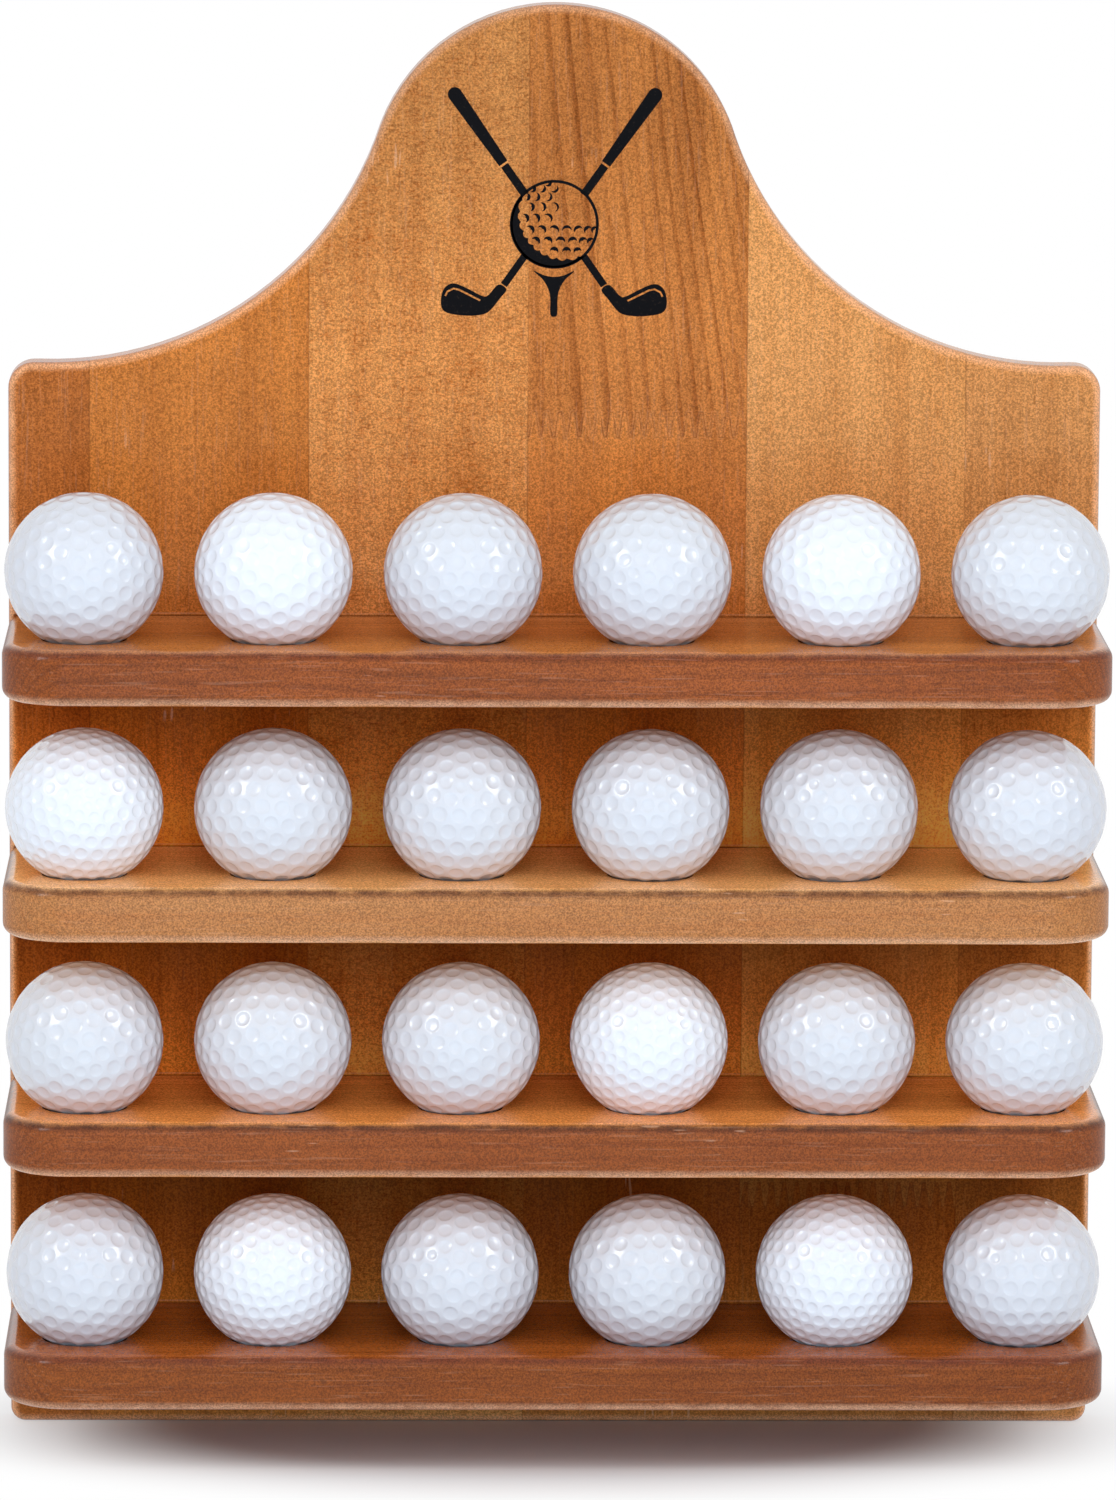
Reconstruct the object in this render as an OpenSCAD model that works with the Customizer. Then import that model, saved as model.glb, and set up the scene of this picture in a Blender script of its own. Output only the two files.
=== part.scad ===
// Wall rack for golf balls: a bell-topped back board glued up from pine staves,
// with wooden shelves screwed to it from behind and a round seat for each ball.
// Millimetres, +Z up, wall plane at y = 0, front towards -Y.
// The origin lies on the wall plane, midway between the two hanging points.

/* [Balls] */
// Diameter of a ball
ball_d = 42.67; // [38:0.01:46]
// Balls on a shelf
columns = 6; // [5:1:8]
// Free space between neighbouring balls
ball_gap = 8.1; // [4:0.1:16]
// Free height between a ball and the shelf above it
lift_room = 9.25; // [6:0.05:30]

/* [Seats] */
// Diameter of the drilled seat under a ball
seat_d = 22; // [14:0.5:28]
// Depth of the drilled seat
seat_depth = 5; // [4:0.5:8]
// Width of the chamfer round the mouth of a seat
seat_ease = 0.6; // [0.2:0.1:1.5]
// Running space between a ball and the mouth of its seat
seat_gap = 0.25; // [0.1:0.05:0.6]

/* [Shelves] */
// Number of shelves
rows = 4; // [2:1:5]
// Thickness of a shelf
shelf_t = 15; // [12:0.5:22]
// Space between a ball and the back board
back_room = 22.6; // [16:0.1:40]
// Shelf in front of a ball
front_lip = 3.6; // [1:0.1:20]
// Shelf beyond the side of the last ball
end_lip = 0.4; // [0:0.1:20]
// Radius of the shelf's front corners, seen from above
shelf_corner_r = 18; // [8:0.5:30]
// Radius of the rounded edges of a shelf
shelf_edge_r = 3.2; // [1:0.1:5]

/* [Back board] */
// Thickness of the board
board_t = 12; // [10:0.5:18]
// Board below the lowest shelf
foot_h = 18.6; // [8:0.1:60]
// Height of the shoulders above the top shelf
shoulder_rise = 69.2; // [60:0.1:120]
// Height of the crown above the shoulders
crown_rise = 97.8; // [70:0.1:105]
// Radius of the crown
crown_r = 51; // [35:0.5:60]
// Straight top of a shoulder, with its corner
shoulder_flat = 11.7; // [8:0.1:20]
// Radius of the shoulder corners
shoulder_corner_r = 7; // [4:0.5:8]
// Radius of the bottom corners
foot_corner_r = 4; // [3.2:0.1:12]
// Radius of the rounded front edge
board_edge_r = 2.8; // [1:0.1:3]
// Radius of the back arris
board_arris_r = 1; // [0.3:0.1:1.5]

/* [Staves] */
// Width of the narrow stave at the left side
left_stave_w = 22.1; // [12:0.1:40]
// Width of the narrow stave at the right side
right_stave_w = 36.9; // [12:0.1:50]
// Fingers across a jointed stave
finger_count = 17; // [9:1:21]
// Length of a finger
finger_l = 6.8; // [4:0.1:10]
// Width of a finger's blunt tip
finger_tip = 0.8; // [0.4:0.1:1]
// Upper finger joint, below the shoulders
upper_joint_drop = 16.3; // [8:0.1:24]
// Lower finger joint, above the bottom edge
lower_joint_h = 64.4; // [30:0.1:90]

/* [Shelf screws] */
// Screws in a shelf
shelf_screws_n = 3; // [2:1:5]
// Length of a shelf screw
shelf_screw_l = 35; // [25:1:40]
// Diameter of its shank
shelf_screw_d = 4; // [3:0.5:5]
// Diameter of its head
shelf_screw_head_d = 8; // [7:0.5:9.5]
// Distance from the end of the shelf to the first screw
shelf_screw_inset = 43.7; // [20:0.1:60]

/* [Hanging plates] */
// Distance between the two hanging points
hang_span = 180; // [120:1:200]
// Hanging points below the shoulders
hang_drop = 26; // [20:0.5:34]
// Length of a keyhole plate
plate_l = 44; // [42:0.5:50]
// Width of a keyhole plate
plate_w = 16; // [14:0.5:20]
// Thickness of a keyhole plate
plate_t = 1.6; // [1:0.1:2.5]
// Diameter of the keyhole's entry
key_entry_d = 9.5; // [8:0.1:11]
// Width of the keyhole's slot
key_slot_w = 4.6; // [4.2:0.1:6]
// Drop from the slot's top to the entry
key_run = 11; // [8:0.5:12]
// Room behind the plate for a wall screw's head
key_room = 5; // [4.5:0.1:6]
// Space round a head in that room
key_room_gap = 0.5; // [0.3:0.1:1]
// Distance between the two screws of a plate
plate_screw_pitch = 34; // [33:0.5:38]
// Length of a plate screw
plate_screw_l = 9; // [6:0.5:10]
// Diameter of its shank
plate_screw_d = 3; // [2:0.5:3.5]
// Diameter of its head
plate_screw_head_d = 5.6; // [5:0.1:7]

/* [Screws and fits] */
// Straight rim of a countersunk head
head_rim = 0.4; // [0.2:0.1:0.6]
// Depth that a screw's head lies below the surface
head_sink = 0.2; // [0.1:0.1:0.5]
// Share of the head's diameter that the cross recess spans
recess_span = 0.55; // [0.4:0.05:0.7]
// Width of a slot of the cross recess
recess_w = 0.9; // [0.6:0.1:1.2]
// Depth of the cross recess
recess_depth = 1.6; // [1:0.1:2]
// Radial space of a screw in its hole, and of a plate in its pocket
fit_gap = 0.1; // [0.05:0.05:0.2]

/* [Hidden] */
$fn = 128;
over = 1; // overrun of every cut
far = 1000; // longer than the whole rack

ball_r = ball_d / 2;
ball_pitch = ball_d + ball_gap;
seat_mouth_r = seat_d / 2 + seat_ease;
ball_up = micron(sqrt(pow(ball_r + seat_gap, 2) - pow(seat_mouth_r, 2))); // ball's centre above its shelf

shelf_w = (columns - 1) * ball_pitch + ball_d + 2 * end_lip;
shelf_d = back_room + ball_d + front_lip;
seat_out = back_room + ball_r; // seat's centre in front of the board
shelf_gap = ball_up + ball_r + lift_room; // clear height between shelves
shelf_pitch = shelf_gap + shelf_t;

board_w = shelf_w;
shoulder_h = foot_h + rows * shelf_t + (rows - 1) * shelf_gap + shoulder_rise;
board_h = shoulder_h + crown_rise;
hang_h = shoulder_h - hang_drop;

// The flank's arc starts level at flank_x and touches the crown's arc on the line through
// their centres. It is cut a trace larger, so that the arcs cross there.
cross = 0.05;
flank_x = micron(board_w / 2 - shoulder_flat);
centres = (pow(flank_x, 2) + pow(crown_rise, 2)) / (2 * crown_rise); // crown's centre to flank's centre
flank_r = micron(centres - crown_r + cross);
flank_y = micron(shoulder_h + centres - crown_r);
crown_y = board_h - crown_r;
meet_y = micron(crown_y + crown_r * (centres - crown_rise) / centres);

stave_w = micron((board_w - left_stave_w - right_stave_w) / 4);
finger_pitch = stave_w / finger_count;
upper_joint_h = shoulder_h - upper_joint_drop;

key_mid = (key_slot_w / 2 - key_run - key_entry_d / 2) / 2; // middle of the keyhole, below its seat
screw_step = (shelf_w - 2 * shelf_screw_inset) / (shelf_screws_n - 1);

STAVE_COLORS = ["#a5602c", "#b26a31", "#c27a3c", "#b8702f", "#bd763b", "#a9622d"];
SHELF_COLORS = ["#a35a2b", "#b4713c", "#a8652f", "#a9632d"];

// Lengths are kept to a micron, so that faces worked out in two ways still meet
function micron(length) = round(length * 1000) / 1000;

// Left side of a stave, numbered from the left, on the whole board
function seam_x(i) = micron(-board_w / 2 + (i == 1 ? 0 : left_stave_w + (i - 2) * stave_w));

// Upper face of a shelf, numbered from the top, above the board's bottom edge
function shelf_top(r) = foot_h + shelf_t + (rows - r) * shelf_pitch;

// Middle of a seat across the shelf, numbered from the left
function seat_x(c) = (c - (columns + 1) / 2) * ball_pitch;

// Middle of a shelf screw, numbered from 0 at the left
function screw_x(i) = -shelf_w / 2 + shelf_screw_inset + i * screw_step;

// From heights above the board's bottom edge to the rack's own origin
module hung() {
    translate([0, 0, -hang_h]) children();
}

// From the board lying on its back, front face up, to the board on the wall
module raised() {
    hung() rotate([90, 0, 0]) children();
}

// What a rounding of radius r takes off a corner at the origin of a section whose stuff is
// left of it and below it
module corner_waste(r) {
    difference() {
        translate([-r, -r]) square(r + over);
        translate([-r, -r]) circle(r);
    }
}

// Section of what is cut away beyond the edge of a plate of thickness t: the edge stands at
// x = 0 and is rounded by top_r above and low_r below
module edge_waste(t, top_r, low_r, reach) {
    translate([0, -over]) square([reach, t + 2 * over]);
    translate([0, t]) corner_waste(top_r);
    mirror([0, 1]) corner_waste(low_r);
}

// That waste along a straight edge from a point, with the plate on the left of its way
module waste_run(from, way, length) {
    translate(from) rotate(way) rotate([90, 0, 90]) linear_extrude(length) mirror([1, 0]) children();
}

// The same round an arc that bulges out of the plate
module waste_bulge(centre, radius, start, sweep) {
    translate(centre) rotate(start) rotate_extrude(angle = sweep) translate([radius, 0]) children();
}

// The same inside a round that is hollowed out of the plate, with a core that fills it
module waste_hollow(centre, radius) {
    translate(centre) rotate_extrude() translate([radius, 0]) mirror([1, 0]) children();
    translate([centre.x, centre.y, -over]) cylinder(h = board_t + 2 * over, r = radius - over);
}

module board_edge_waste(reach) {
    edge_waste(board_t, board_edge_r, board_arris_r, reach);
}

// What is cut from the blank on its right side
module board_side_waste() {
    corner = shoulder_corner_r;
    foot = foot_corner_r;
    waste_bulge([board_w / 2 - foot, foot], foot, -90, 90) board_edge_waste(board_t);
    waste_run([board_w / 2, foot], 90, shoulder_h - corner - foot) board_edge_waste(board_t);
    waste_bulge([board_w / 2 - corner, shoulder_h - corner], corner, 0, 90) board_edge_waste(board_h);
    waste_run([board_w / 2 - corner, shoulder_h], 180, shoulder_flat - corner) board_edge_waste(board_h);
    waste_hollow([flank_x, flank_y], flank_r) board_edge_waste(board_t);
}

// What is cut from the blank round the crown, above the place where its arc meets the flanks
module crown_waste() {
    intersection() {
        waste_bulge([0, crown_y], crown_r, 0, 360) board_edge_waste(board_w);
        translate([-board_w, meet_y, -2 * over]) cube([2 * board_w, board_h, board_t + 4 * over]);
    }
}

// The board sawn to its outline from an oblong blank, with its edges rounded
module board_shape() {
    difference() {
        translate([-board_w / 2 - over, -over, 0]) cube([board_w + 2 * over, board_h + 2 * over, board_t]);
        waste_run([-board_w / 2 + foot_corner_r, 0], 0, board_w - 2 * foot_corner_r) board_edge_waste(board_t);
        crown_waste();
        board_side_waste();
        mirror([1, 0, 0]) board_side_waste();
    }
}

// A countersunk screw standing on its head, and with grow its hole
module screw_turned(length, shank_d, head_d, grow) {
    head_r = head_d / 2 + grow;
    shank_r = shank_d / 2 + grow;
    top = grow > 0 ? -over : head_sink;
    rim = head_sink + head_rim;
    neck = rim + head_r - shank_r;
    rotate_extrude()
        polygon([[0, top], [head_r, top], [head_r, rim], [shank_r, neck],
            [shank_r, length + grow - shank_d], [0, length + grow]]);
}

module screw(length, shank_d, head_d) {
    span = head_d * recess_span;
    difference() {
        screw_turned(length, shank_d, head_d, 0);
        for (turn = [0, 90]) rotate(turn)
            translate([-span / 2, -recess_w / 2, head_sink - over]) cube([span, recess_w, recess_depth + over]);
    }
}

module at_shelf_screws(r) {
    for (i = [0:shelf_screws_n - 1])
        translate([screw_x(i), shelf_top(r) - shelf_t / 2, 0]) children();
}

module at_plate_screws() {
    for (end = [-1, 1]) translate([0, key_mid + end * plate_screw_pitch / 2, 0]) children();
}

// A slot with round ends that runs up from one point to another
module slot(low, high, width) {
    translate([-width / 2, low]) square([width, high - low]);
    for (y = [low, high]) translate([0, y]) circle(width / 2);
}

module plate_outline(grow) {
    half = (plate_l - plate_w) / 2;
    slot(key_mid - half, key_mid + half, plate_w + 2 * grow);
}

// The pocket for a keyhole plate, with room below it for the head of a wall screw
module plate_pocket() {
    translate([0, 0, -over]) linear_extrude(over + plate_t) plate_outline(fit_gap);
    translate([0, 0, -over]) linear_extrude(over + plate_t + key_room)
        slot(-key_run, 0, key_entry_d + 2 * key_room_gap);
    at_plate_screws() screw_turned(plate_screw_l, plate_screw_d, plate_screw_head_d, fit_gap);
}

// The whole board on its back, before it is told apart into its staves
module board() {
    difference() {
        board_shape();
        for (r = [1:rows]) at_shelf_screws(r)
            screw_turned(shelf_screw_l, shelf_screw_d, shelf_screw_head_d, fit_gap);
        for (side = [-1, 1]) translate([side * hang_span / 2, hang_h, 0]) plate_pocket();
    }
}

module stave(i) {
    right = i == 6 ? board_w / 2 : seam_x(i + 1);
    color(STAVE_COLORS[i - 1]) raised() intersection() {
        board();
        translate([seam_x(i), -over, -over]) cube([right - seam_x(i), far, board_t + 2 * over]);
    }
}

// The finger joint's line across stave i, from left to right
function fingers(i, h) = [
    for (n = [0:finger_count], side = [-1, 1])
        each let (x = seam_x(i) + n * finger_pitch, low = h - finger_l / 2, high = h + finger_l / 2)
            side < 0
                ? (n == 0 ? [] : [[x - finger_tip / 2, low]])
                : (n == finger_count ? [[x, low]] : [[x + (n == 0 ? 0 : finger_tip / 2), low],
                    [x + finger_pitch / 2 - finger_tip / 2, high],
                    [x + finger_pitch / 2 + finger_tip / 2, high]])
];

// One length of a finger-jointed stave, above or below the joint at height h
module stave_length(i, h, upper) {
    end = upper ? far : -over;
    color(STAVE_COLORS[i - 1]) raised() intersection() {
        board();
        translate([0, 0, -over]) linear_extrude(board_t + 2 * over)
            polygon(concat(fingers(i, h), [[seam_x(i + 1), end], [seam_x(i), end]]));
    }
}

module shelf_edge_waste() {
    edge_waste(shelf_t, shelf_edge_r, shelf_edge_r, shelf_t);
}

module shelf_end_waste() {
    corner = shelf_corner_r;
    waste_bulge([shelf_w / 2 - corner, corner - shelf_d], corner, -90, 90) shelf_edge_waste();
    waste_run([shelf_w / 2, corner - shelf_d], 90, shelf_d - corner + over) shelf_edge_waste();
}

// A shelf without its seats, with its back edge along y = 0
module shelf_shape() {
    front = shelf_w - 2 * shelf_corner_r;
    difference() {
        translate([-shelf_w / 2 - over, -shelf_d - over, 0]) cube([shelf_w + 2 * over, shelf_d + over, shelf_t]);
        waste_run([-front / 2, -shelf_d], 0, front) shelf_edge_waste();
        shelf_end_waste();
        mirror([1, 0, 0]) shelf_end_waste();
    }
}

// A drilled seat, with its mouth at z = 0
module seat() {
    rotate_extrude()
        polygon([[0, -seat_depth], [seat_d / 2, -seat_depth], [seat_d / 2, -seat_ease],
            [seat_mouth_r, 0], [seat_mouth_r, over], [0, over]]);
}

module shelf(r) {
    color(SHELF_COLORS[(r - 1) % 4]) difference() {
        hung() translate([0, -board_t, shelf_top(r) - shelf_t]) difference() {
            shelf_shape();
            for (c = [1:columns]) translate([seat_x(c), -seat_out, shelf_t]) seat();
        }
        raised() at_shelf_screws(r)
            screw_turned(shelf_screw_l, shelf_screw_d, shelf_screw_head_d, fit_gap);
    }
}

module shelf_screws(r) {
    color("#b9b6a8") raised() at_shelf_screws(r) screw(shelf_screw_l, shelf_screw_d, shelf_screw_head_d);
}

module keyhole_plate(side) {
    color("#c9c6bb") raised() translate([side * hang_span / 2, hang_h, 0]) difference() {
        linear_extrude(plate_t) plate_outline(0);
        translate([0, 0, -over]) linear_extrude(plate_t + 2 * over) {
            slot(-key_run, 0, key_slot_w);
            translate([0, -key_run]) circle(key_entry_d / 2);
        }
        at_plate_screws() screw_turned(plate_screw_l, plate_screw_d, plate_screw_head_d, fit_gap);
    }
}

module plate_screws(side) {
    color("#b9b6a8") raised() translate([side * hang_span / 2, hang_h, 0]) at_plate_screws()
        screw(plate_screw_l, plate_screw_d, plate_screw_head_d);
}

module ball(r, c) {
    color("#f4f5f8") hung()
        translate([seat_x(c), -board_t - seat_out, shelf_top(r) + ball_up]) sphere(ball_r);
}

stave(1);  // stave_1
stave(2);  // stave_2
stave(3);  // stave_3
stave_length(4, upper_joint_h, true);  // stave_4_upper
stave_length(4, upper_joint_h, false);  // stave_4_lower
stave_length(5, lower_joint_h, true);  // stave_5_upper
stave_length(5, lower_joint_h, false);  // stave_5_lower
stave(6);  // stave_6
for (r = [1:rows]) {
    shelf(r);
    shelf_screws(r);
}
keyhole_plate(-1);  // keyhole_plate_left
keyhole_plate(1);  // keyhole_plate_right
plate_screws(-1);  // plate_screws_left
plate_screws(1);  // plate_screws_right
for (r = [1:rows], c = [1:columns])
    ball(r, c);
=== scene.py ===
"""Dresses the frame of a wall rack for golf balls: stained pine staves and shelves, dimpled balls,
a printed golf emblem and zinc-plated fittings, with a pale studio round them. Lengths are metres,
and the rack's front looks towards -Y."""

import math
import random

import bpy
from bpy.props import FloatProperty, FloatVectorProperty, IntProperty, PointerProperty
from mathutils import Euler, Matrix, Vector


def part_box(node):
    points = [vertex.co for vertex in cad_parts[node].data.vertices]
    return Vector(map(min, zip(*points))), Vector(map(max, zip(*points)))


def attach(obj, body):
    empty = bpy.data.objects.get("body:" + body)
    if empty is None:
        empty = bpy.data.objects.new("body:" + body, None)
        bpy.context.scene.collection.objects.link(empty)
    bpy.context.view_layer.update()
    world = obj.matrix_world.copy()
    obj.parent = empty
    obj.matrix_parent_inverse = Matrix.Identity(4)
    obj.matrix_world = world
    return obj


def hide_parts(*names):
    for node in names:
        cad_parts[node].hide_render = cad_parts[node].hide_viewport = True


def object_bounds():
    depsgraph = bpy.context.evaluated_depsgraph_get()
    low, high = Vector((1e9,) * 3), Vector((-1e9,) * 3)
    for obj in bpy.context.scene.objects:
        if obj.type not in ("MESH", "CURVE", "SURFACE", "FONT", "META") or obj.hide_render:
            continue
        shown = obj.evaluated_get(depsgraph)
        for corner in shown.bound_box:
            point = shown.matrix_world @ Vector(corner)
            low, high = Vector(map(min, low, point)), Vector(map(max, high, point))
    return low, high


bl_info = {
    "name": "Golf Ball Rack",
    "version": (1, 0, 0),
    "blender": (4, 5, 0),
    "location": "3D View > Sidebar > Ball Rack",
    "description": "Stains a pine rack for golf balls and adds its balls, emblem and studio",
    "category": "Add Mesh",
}

MM = 0.001
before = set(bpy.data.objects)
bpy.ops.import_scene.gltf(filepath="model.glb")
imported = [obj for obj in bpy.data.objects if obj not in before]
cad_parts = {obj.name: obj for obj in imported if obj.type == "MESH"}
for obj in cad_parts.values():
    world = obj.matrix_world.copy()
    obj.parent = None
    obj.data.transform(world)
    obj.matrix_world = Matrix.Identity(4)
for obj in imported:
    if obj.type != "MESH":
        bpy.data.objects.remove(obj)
CAD_LOW, CAD_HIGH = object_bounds()
MIDDLE = (CAD_LOW + CAD_HIGH) / 2
FRONT_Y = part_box("stave_3")[0].y
BOTTOM_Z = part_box("stave_3")[0].z
STAVES = [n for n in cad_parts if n.startswith("stave_")]
SHELVES = [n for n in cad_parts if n.startswith("shelf_") and "screws" not in n]
BALLS = [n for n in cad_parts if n.startswith("ball_")]
SCREWS = [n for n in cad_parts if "screws" in n]
PLATES = [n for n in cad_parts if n.startswith("keyhole_plate")]
BALL_R = (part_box("ball_1_1")[1].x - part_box("ball_1_1")[0].x) / 2
# Staves in two lengths, and the fingers across each of their joints
JOINTED_STAVES = ("stave_4", "stave_5")
FINGERS = 17


class WoodFinish(bpy.types.PropertyGroup):
    """Stain and lacquer of the board and the shelves"""

    # Dark of the glue lines and dents, and of the painted shadow along the foot of each compartment
    glue_and_shadow_color: FloatVectorProperty(
        name="Glue line and shadow", description="Stain of glue lines and dents, and painted shadow where a shelf meets the board",
        subtype="COLOR", size=3, min=0, max=1, default=(0.13, 0.035, 0.008),
    )
    # Pale colour of the scratches and hairs, and of the painted highlights on the rounded edges behind a
    # face, beside the finger joints and along the compartments' feet
    wear_and_highlight_color: FloatVectorProperty(
        name="Pale wear and highlight", description="Pale scratches and hairs, and painted highlight on far rounded edges and beside joint lines",
        subtype="COLOR", size=3, min=0, max=1, default=(0.74, 0.42, 0.25),
    )
    roughness: FloatProperty(
        name="Lacquer roughness", description="Roughness of the satin lacquer",
        default=0.42, min=0, max=1,
    )
    grain_depth: FloatProperty(
        name="Grain depth", description="Relief that the grain leaves in the lacquer",
        subtype="DISTANCE", default=0.06 * MM, min=0, max=0.5 * MM,
    )


class BallCover(bpy.types.PropertyGroup):
    """Form and finish of the balls' covers"""

    wide_rows: IntProperty(
        name="Wide dimples",
        description="Rows of dimples along an edge of the icosahedron that lays them out",
        default=5, min=3, max=8,
    )
    close_rows: IntProperty(
        name="Close dimples", description="The same on the balls of the other kind",
        default=6, min=3, max=8,
    )
    dimple_share: FloatProperty(
        name="Dimple share", description="Dimple radius as a share of the distance between two dimples",
        default=0.485, min=0.3, max=0.49,
    )
    dimple_depth: FloatProperty(
        name="Dimple depth", description="Depth of a dimple", subtype="DISTANCE",
        default=0.28 * MM, min=0, max=1 * MM,
    )
    soft_white: FloatVectorProperty(
        name="Soft white", description="Cover of most of the balls",
        subtype="COLOR", size=3, min=0, max=1, default=(0.65, 0.65, 0.68),
    )
    bright_white: FloatVectorProperty(
        name="Bright white", description="Cover of the balls of a lighter white",
        subtype="COLOR", size=3, min=0, max=1, default=(0.77, 0.78, 0.82),
    )


class EmblemPrint(bpy.types.PropertyGroup):
    """Place and ink of the printed emblem"""

    centre_height: FloatProperty(
        name="Height", description="Middle of the printed ball above the board's bottom edge",
        subtype="DISTANCE", default=332.5 * MM,
    )
    ink_color: FloatVectorProperty(
        name="Ink", description="Colour of the print",
        subtype="COLOR", size=3, min=0, max=1, default=(0.004, 0.004, 0.005),
    )
    ink_height: FloatProperty(
        name="Ink thickness", description="Thickness of the layer of ink", subtype="DISTANCE",
        default=0.05 * MM, min=0.01 * MM, max=0.3 * MM,
    )


class Studio(bpy.types.PropertyGroup):
    """Camera, lamps and floor"""

    camera_place: FloatVectorProperty(
        name="Camera", description="Where the camera stands", subtype="TRANSLATION", size=3,
        default=(-56.8 * MM, -2577 * MM, 320.5 * MM),
    )
    camera_pitch: FloatProperty(
        name="Pitch", description="How far the camera looks down",
        subtype="ANGLE", default=math.radians(8.871),
    )
    camera_yaw: FloatProperty(
        name="Yaw", description="How far the camera turns right",
        subtype="ANGLE", default=math.radians(1.299),
    )
    camera_roll: FloatProperty(
        name="Roll", description="How far the camera leans left",
        subtype="ANGLE", default=math.radians(0.348),
    )
    field_of_view: FloatProperty(
        name="Field of view", description="Angle that the picture's height takes in",
        subtype="ANGLE", default=math.radians(9.034),
    )
    fill: FloatProperty(
        name="Fill", description="Light from all round", default=0.62, min=0, max=2,
    )
    front_power: FloatProperty(
        name="Front", description="Tall lamp in front", subtype="POWER", default=5.6, min=0,
    )
    top_power: FloatProperty(
        name="Top", description="Wide lamp above the camera", subtype="POWER", default=1.7, min=0,
    )
    side_power: FloatProperty(
        name="Sides", description="Each lamp at the side", subtype="POWER", default=4.6, min=0,
    )
    table_power: FloatProperty(
        name="Table", description="Light that a white table in front sends up",
        subtype="POWER", default=3.4, min=0,
    )


class Plank:
    """How a stave or shelf was cut and how it took the stain. Its light and its dark wood are written
    as six hexadecimal digits. pith is the middle of the growth rings, in millimetres from the plank's
    centre, across it and through it, lean is how far the pith moves for each millimetre along the
    grain, and ring is the width of a ring in millimetres. contrast, curl and fleck are how strongly
    the late wood, the curly figure and the dark flecks show. side is how light the narrow sides are,
    in red, green and blue, as a share of the face; on the shelves this is painted light and shade,
    with the tops painted lighter and the fronts and ends darker. rim is the colour that the rounded
    edges round the face tend to, in patches: a pale painted highlight on the staves, and a dark band
    of stain and painted shade on the shelves. top is how light the upper end is, as a share of the
    rest, and is painted shade."""

    def __init__(self, light, dark, pith, ring, seed, lean=(0.01, 0), contrast=0.20, curl=0.10,
                 fleck=0.3, side=(1, 1, 1), rim="eaa878", top=1.0):
        self.light = srgb(light)
        self.dark = srgb(dark)
        self.pith = pith
        self.ring = ring
        self.seed = seed
        self.lean = lean
        self.contrast = contrast
        self.curl = curl
        self.fleck = fleck
        self.side = side
        self.rim = srgb(rim)
        self.top = top


def srgb(code):
    """A colour written as six hexadecimal digits, as linear red, green, blue and alpha."""
    parts = [int(code[i:i + 2], 16) / 255 for i in (0, 2, 4)]
    return [c / 12.92 if c <= 0.04045 else ((c + 0.055) / 1.055) ** 2.4 for c in parts] + [1.0]


PLANKS = {
    "stave_1": Plank("b86a30", "8c4a1c", pith=(60, 10), ring=2.4, seed=1, curl=0.15),
    "stave_2": Plank(
        "cc7c38", "9e5824", pith=(70, 12), ring=2.2, seed=2, lean=(-0.012, 0.01), curl=0.12,
    ),
    # top on staves 3 and 4 is painted shade at the crown
    "stave_3": Plank(
        "dc9452", "aa5e26", pith=(-90, 6), ring=2.0, seed=3, contrast=0.10, curl=0.75, top=0.74,
    ),
    "stave_4_upper": Plank(
        "ce8040", "945020", pith=(-59, 89), ring=2.4, seed=4, lean=(-0.20, -0.05),
        contrast=0.55, curl=0.05, fleck=0.4, top=0.80,
    ),
    "stave_4_lower": Plank("cc7c3a", "a05a28", pith=(75, 14), ring=2.2, seed=5),
    "stave_5_upper": Plank(
        "d89658", "b26c32", pith=(80, 10), ring=1.8, seed=6, lean=(0.006, 0), contrast=0.16, fleck=0.35,
    ),
    "stave_5_lower": Plank(
        "cc8040", "9c5a28", pith=(60, 12), ring=2.0, seed=7, lean=(0.02, 0), contrast=0.22,
    ),
    "stave_6": Plank(
        "cc8a50", "a0602c", pith=(-70, 8), ring=2.1, seed=8, lean=(0.008, 0), curl=0.08, fleck=0.45,
    ),
    # The shelves' tops are painted lighter and their fronts darker, as painted light and shade; their
    # rims are a dark band of stain and painted shade
    "shelf_1": Plank(
        "de8c48", "a46230", pith=(-26, 30), ring=1.9, seed=11, lean=(0.004, 0.002),
        contrast=0.40, curl=0.15, fleck=0.4, side=(0.42, 0.27, 0.145), rim="5e2410",
    ),
    "shelf_2": Plank(
        "ffc07c", "f0a45e", pith=(30, 44), ring=2.1, seed=12, lean=(-0.006, 0.002),
        contrast=0.32, curl=0.25, fleck=0.35, side=(0.44, 0.345, 0.29), rim="4e1e08",
    ),
    "shelf_3": Plank(
        "ffa656", "d07c3a", pith=(-34, 36), ring=1.7, seed=13, lean=(0.004, 0.004),
        contrast=0.40, curl=0.15, fleck=0.4, side=(0.28, 0.18, 0.125), rim="34120a",
    ),
    "shelf_4": Plank(
        "b86428", "884014", pith=(28, 30), ring=1.8, seed=14, lean=(0.005, -0.003),
        contrast=0.38, curl=0.15, fleck=0.4, side=(0.55, 0.51, 0.39), rim="5e2410",
    ),
}


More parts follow.
